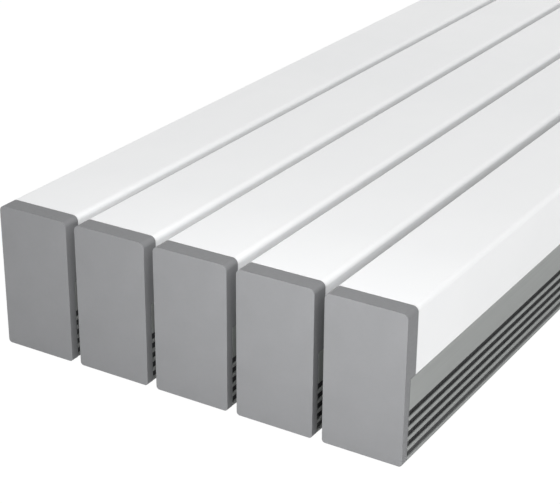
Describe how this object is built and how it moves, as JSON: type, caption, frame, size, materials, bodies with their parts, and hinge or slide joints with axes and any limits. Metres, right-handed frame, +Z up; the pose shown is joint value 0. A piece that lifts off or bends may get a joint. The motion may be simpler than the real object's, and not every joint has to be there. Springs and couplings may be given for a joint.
{
  "type": "baseboard heater",
  "caption": "Bank of slim baseboard heaters: white lift-off covers over grey slotted side grilles, grey end caps, finned elements and shared wiring inside.",
  "frame": {"origin": "centre of the bank's footprint, on the floor", "axes": "+X across the row of modules, +Y along them from the near caps to the far caps, +Z up"},
  "size_m": [0.3578, 1, 0.12],
  "materials": {
    "white_enamel": "satin",
    "grey_profile": "satin anodised",
    "grey_cap": "fine matt",
    "zinc_sheet": "galvanised",
    "fin_aluminium": "mill",
    "block_nylon": "semi-matt",
    "cutout_black": "matt",
    "rubber_black": "matt"
  },
  "bodies": {
    "base": {"grille_left_1": "grey_profile", "grille_right_1": "grey_profile", "base_tray_1": "zinc_sheet", "end_cap_near_1": "grey_cap", "end_cap_far_1": "grey_cap", "finned_element_1": "fin_aluminium", "bracket_near_1": "zinc_sheet", "bracket_far_1": "zinc_sheet", "terminal_block_1": "block_nylon", "thermal_cutout_1": "cutout_black", "cable_grommet": "rubber_black", "grille_left_2": "grey_profile", "grille_right_2": "grey_profile", "base_tray_2": "zinc_sheet", "end_cap_near_2": "grey_cap", "end_cap_far_2": "grey_cap", "finned_element_2": "fin_aluminium", "bracket_near_2": "zinc_sheet", "bracket_far_2": "zinc_sheet", "terminal_block_2": "block_nylon", "thermal_cutout_2": "cutout_black", "grille_left_3": "grey_profile", "grille_right_3": "grey_profile", "base_tray_3": "zinc_sheet", "end_cap_near_3": "grey_cap", "end_cap_far_3": "grey_cap", "finned_element_3": "fin_aluminium", "bracket_near_3": "zinc_sheet", "bracket_far_3": "zinc_sheet", "terminal_block_3": "block_nylon", "thermal_cutout_3": "cutout_black", "grille_left_4": "grey_profile", "grille_right_4": "grey_profile", "base_tray_4": "zinc_sheet", "end_cap_near_4": "grey_cap", "end_cap_far_4": "grey_cap", "finned_element_4": "fin_aluminium", "bracket_near_4": "zinc_sheet", "bracket_far_4": "zinc_sheet", "terminal_block_4": "block_nylon", "thermal_cutout_4": "cutout_black", "grille_left_5": "grey_profile", "grille_right_5": "grey_profile", "base_tray_5": "zinc_sheet", "end_cap_near_5": "grey_cap", "end_cap_far_5": "grey_cap", "finned_element_5": "fin_aluminium", "bracket_near_5": "zinc_sheet", "bracket_far_5": "zinc_sheet", "terminal_block_5": "block_nylon", "thermal_cutout_5": "cutout_black", "tie_bar_near": "zinc_sheet", "tie_bar_far": "zinc_sheet", "wiring_raceway": "zinc_sheet"},
    "lid_1": {"cover_1": "white_enamel"},
    "lid_2": {"cover_2": "white_enamel"},
    "lid_3": {"cover_3": "white_enamel"},
    "lid_4": {"cover_4": "white_enamel"},
    "lid_5": {"cover_5": "white_enamel"}
  },
  "joints": [
    {"name": "cover_1_lift", "type": "slide", "parent": "base", "child": "lid_1", "axis": [0, 0, 1], "range_m": [0, 0.06]},
    {"name": "cover_2_lift", "type": "slide", "parent": "base", "child": "lid_2", "axis": [0, 0, 1], "range_m": [0, 0.06]},
    {"name": "cover_3_lift", "type": "slide", "parent": "base", "child": "lid_3", "axis": [0, 0, 1], "range_m": [0, 0.06]},
    {"name": "cover_4_lift", "type": "slide", "parent": "base", "child": "lid_4", "axis": [0, 0, 1], "range_m": [0, 0.06]},
    {"name": "cover_5_lift", "type": "slide", "parent": "base", "child": "lid_5", "axis": [0, 0, 1], "range_m": [0, 0.06]}
  ]
}
